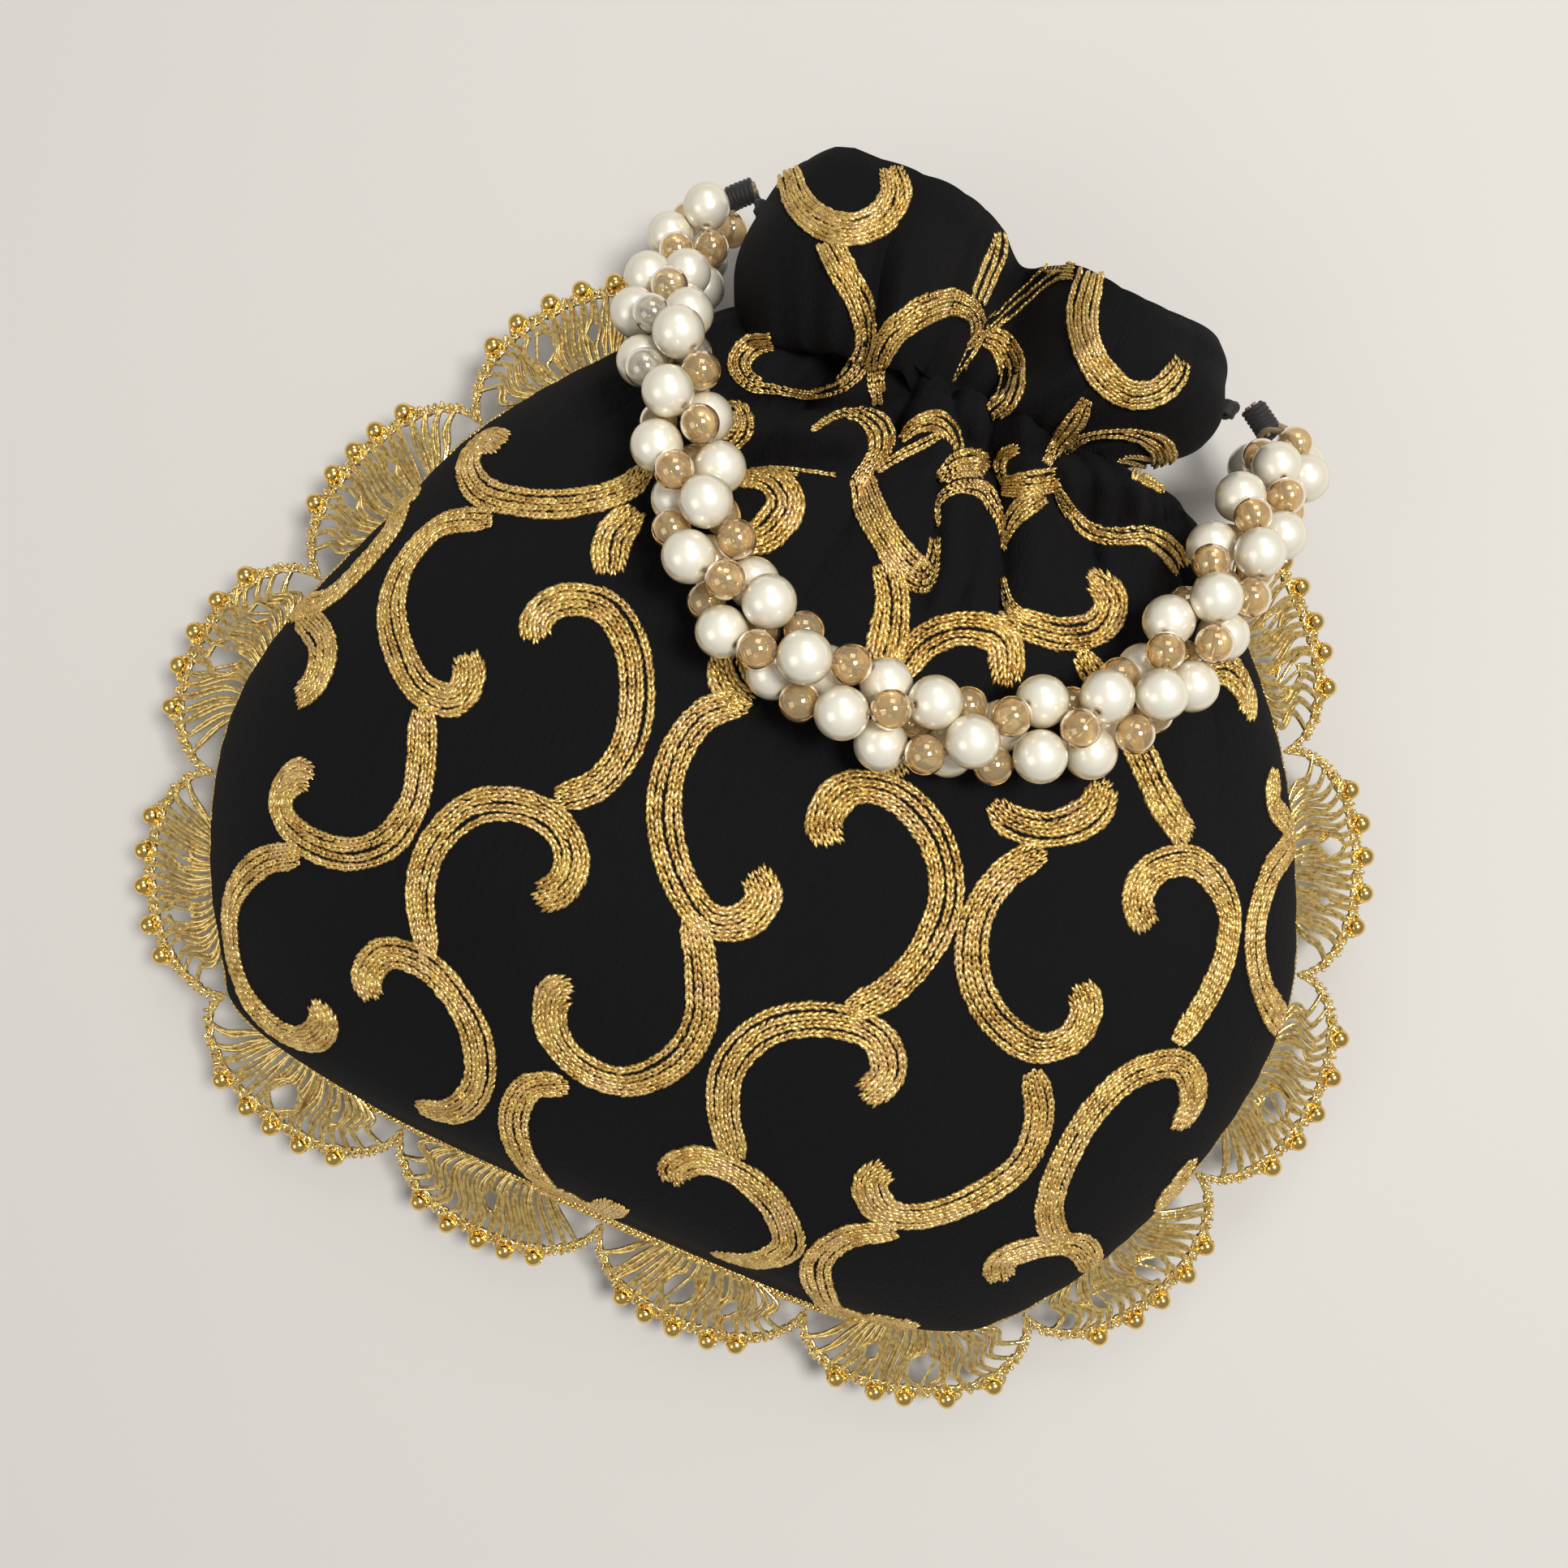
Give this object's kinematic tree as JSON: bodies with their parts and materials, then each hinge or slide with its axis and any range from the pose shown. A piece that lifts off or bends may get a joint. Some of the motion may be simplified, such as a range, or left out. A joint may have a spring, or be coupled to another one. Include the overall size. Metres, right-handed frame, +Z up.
{
  "type": "potli bag",
  "caption": "Stuffed black drawstring potli bag lying on its back, with gold scroll embroidery, a scalloped bead lace edge and a twisted pearl bead handle.",
  "frame": {"origin": "on the table, at the middle of the flat patch on which the bag's back lies", "axes": "+X across the bag towards its right side, +Y from the bottom seam towards the drawn neck, +Z up from the table through the front panel"},
  "size_m": [0.2564, 0.2266, 0.0855],
  "materials": {
    "black_cloth": "matte crinkled crepe",
    "gold_embroidery": "metallic chain stitch",
    "gold_lace": "metallic thread and polished balls",
    "pearl_and_glass": "soft pearl sheen"
  },
  "bodies": {
    "root": {"pouch": "black_cloth", "vine_left_edge": "gold_embroidery", "vine_left_outer": "gold_embroidery", "vine_left_inner": "gold_embroidery", "vine_centre_left": "gold_embroidery", "vine_centre": "gold_embroidery", "vine_centre_right": "gold_embroidery", "vine_right": "gold_embroidery", "vine_right_edge": "gold_embroidery", "scroll_right_shoulder": "gold_embroidery", "scroll_right_corner": "gold_embroidery", "scroll_left_gather": "gold_embroidery", "frill_left_vine": "gold_embroidery", "frill_right_scroll": "gold_embroidery", "lace": "gold_lace", "handle_strand_1": "pearl_and_glass", "handle_strand_2": "pearl_and_glass", "handle_strand_3": "pearl_and_glass", "handle_knot_left": "black_cloth", "handle_knot_right": "black_cloth"}
  },
  "joints": []
}
